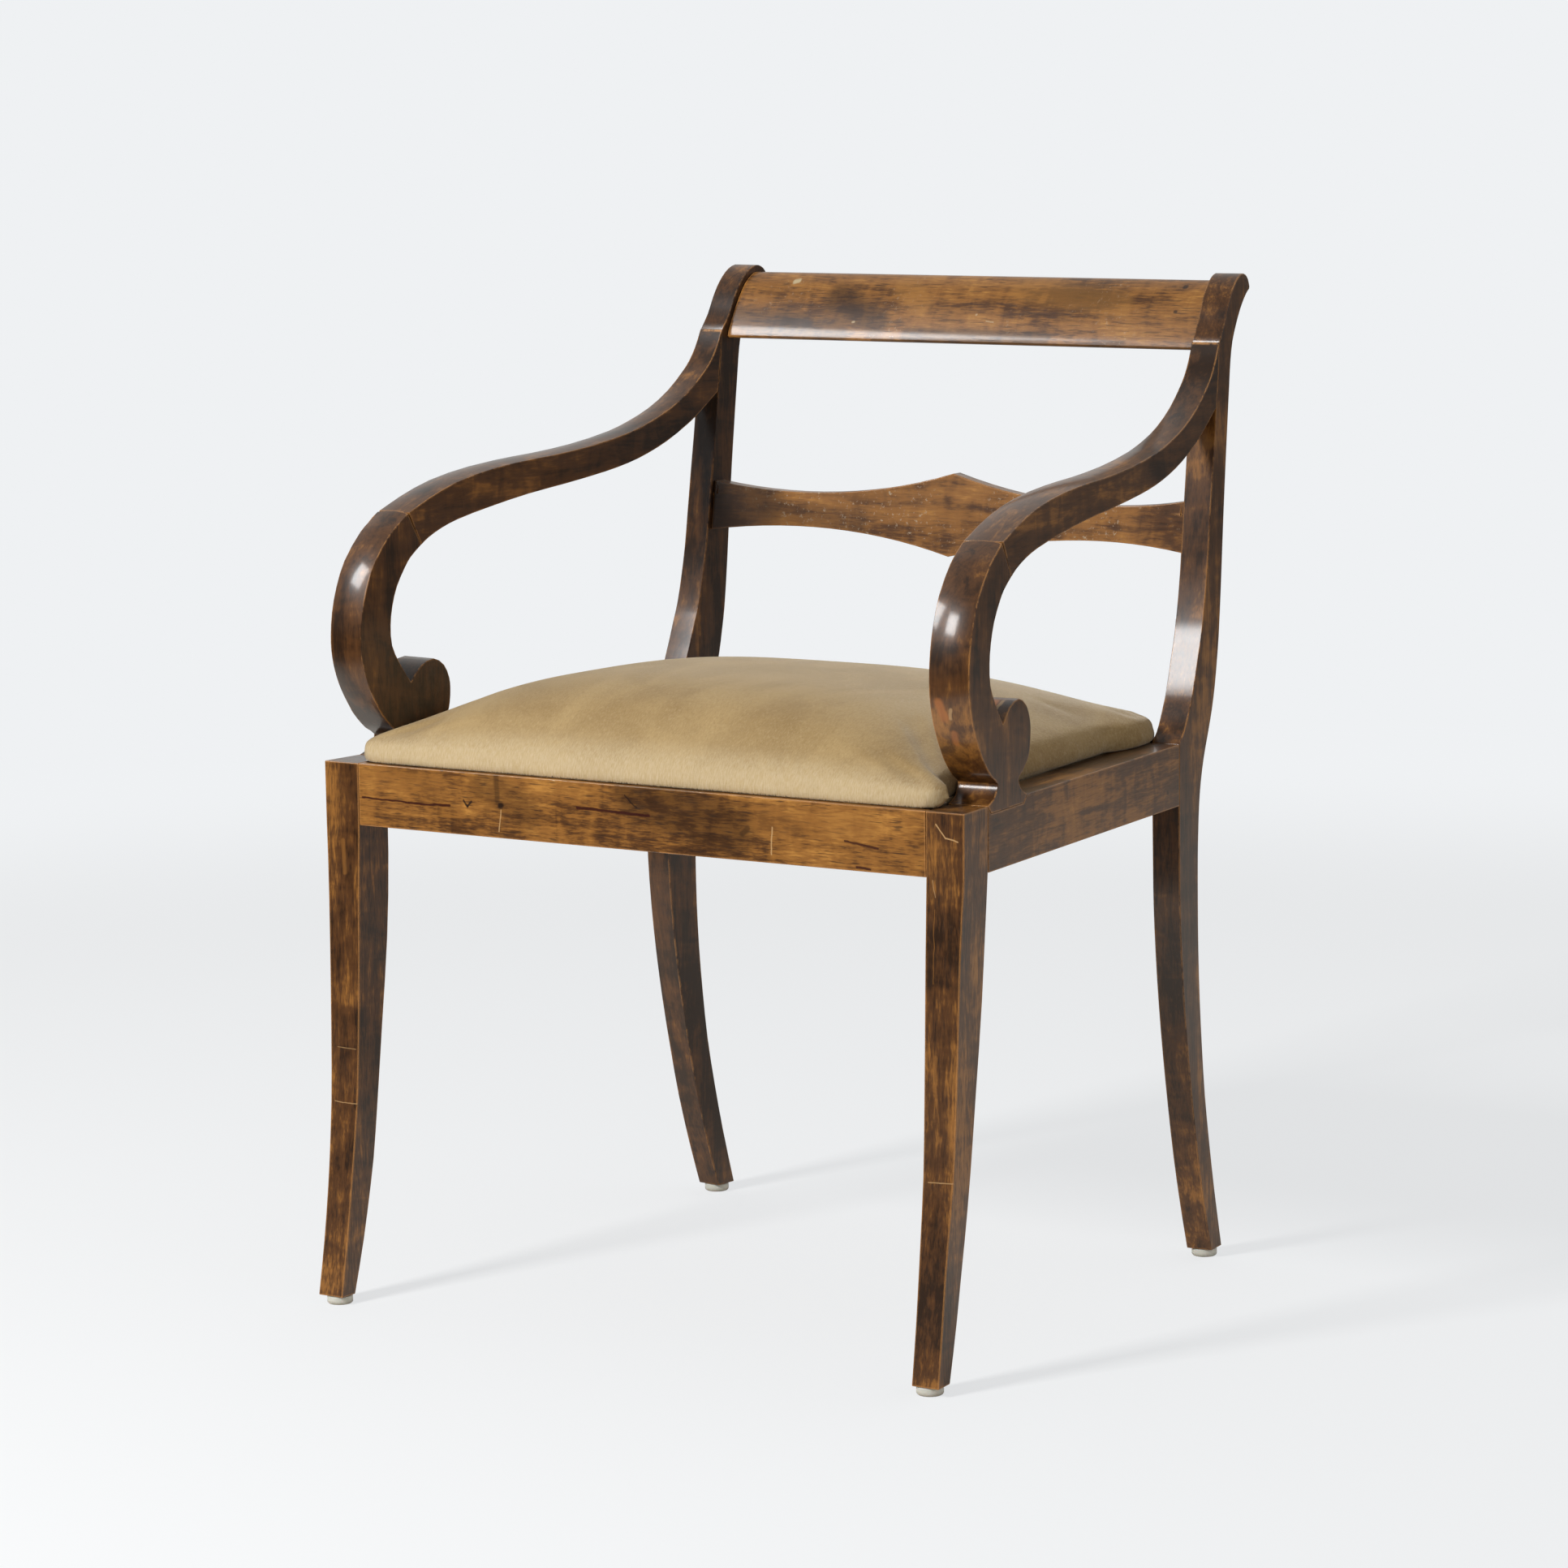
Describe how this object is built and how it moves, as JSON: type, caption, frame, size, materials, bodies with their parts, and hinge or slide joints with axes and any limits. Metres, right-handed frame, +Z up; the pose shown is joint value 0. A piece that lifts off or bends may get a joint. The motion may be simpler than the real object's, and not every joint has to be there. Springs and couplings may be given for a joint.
{
  "type": "klismos armchair",
  "caption": "Wooden armchair with sabre legs, scrolled arms, a rolled crest rail, a waisted mid rail and a loose upholstered seat.",
  "frame": {"origin": "centre of the bounding box on the floor, under the glides", "axes": "+Z up, +X to the right as seen from the front, -Y to the front, where the sitter's legs go"},
  "size_m": [0.5936, 0.5684, 0.8],
  "materials": {
    "stained_birch": "dark stain under satin lacquer, worn golden on the edges",
    "plain_birch": "planed, bare",
    "steel": "plain",
    "glide_plastic": "matt",
    "jute": "woven",
    "stuffing": "matted fibre",
    "pile_fabric": "short mohair pile"
  },
  "bodies": {
    "frame": {"front_leg_left": "stained_birch", "front_leg_right": "stained_birch", "rear_post_left": "stained_birch", "rear_post_right": "stained_birch", "front_seat_rail": "stained_birch", "rear_seat_rail": "stained_birch", "side_seat_rail_left": "stained_birch", "side_seat_rail_right": "stained_birch", "arm_scroll_left": "stained_birch", "arm_scroll_right": "stained_birch", "arm_upper_left": "stained_birch", "arm_upper_right": "stained_birch", "crest_rail": "stained_birch", "back_mid_rail": "stained_birch", "arm_dowel_left": "plain_birch", "arm_dowel_right": "plain_birch", "corner_block_front_left": "plain_birch", "corner_block_front_right": "plain_birch", "corner_block_rear_left": "plain_birch", "corner_block_rear_right": "plain_birch", "seat_ledger_left": "plain_birch", "seat_ledger_right": "plain_birch", "scroll_screw_left": "steel", "scroll_screw_right": "steel", "corner_block_screw_front_side_left": "steel", "corner_block_screw_front_side_right": "steel", "corner_block_screw_front_rail_left": "steel", "corner_block_screw_front_rail_right": "steel", "corner_block_screw_rear_side_left": "steel", "corner_block_screw_rear_side_right": "steel", "corner_block_screw_rear_rail_left": "steel", "corner_block_screw_rear_rail_right": "steel", "seat_ledger_screw_front_left": "steel", "seat_ledger_screw_front_right": "steel", "seat_ledger_screw_rear_left": "steel", "seat_ledger_screw_rear_right": "steel", "glide_nail_front_left": "steel", "glide_nail_front_right": "steel", "glide_nail_rear_left": "steel", "glide_nail_rear_right": "steel", "glide_front_left": "glide_plastic", "glide_front_right": "glide_plastic", "glide_rear_left": "glide_plastic", "glide_rear_right": "glide_plastic"},
    "seat": {"seat_frame_front": "plain_birch", "seat_frame_rear": "plain_birch", "seat_frame_left": "plain_birch", "seat_frame_right": "plain_birch", "webbing_lengthwise_1": "jute", "webbing_lengthwise_2": "jute", "webbing_lengthwise_3": "jute", "webbing_crosswise_1": "jute", "webbing_crosswise_2": "jute", "webbing_crosswise_3": "jute", "seat_hessian": "jute", "seat_padding": "stuffing", "seat_cover": "pile_fabric"}
  },
  "joints": [
    {"name": "seat_lift", "type": "slide", "parent": "frame", "child": "seat", "axis": [0, 0, 1], "range_m": [0, 0.006]}
  ]
}
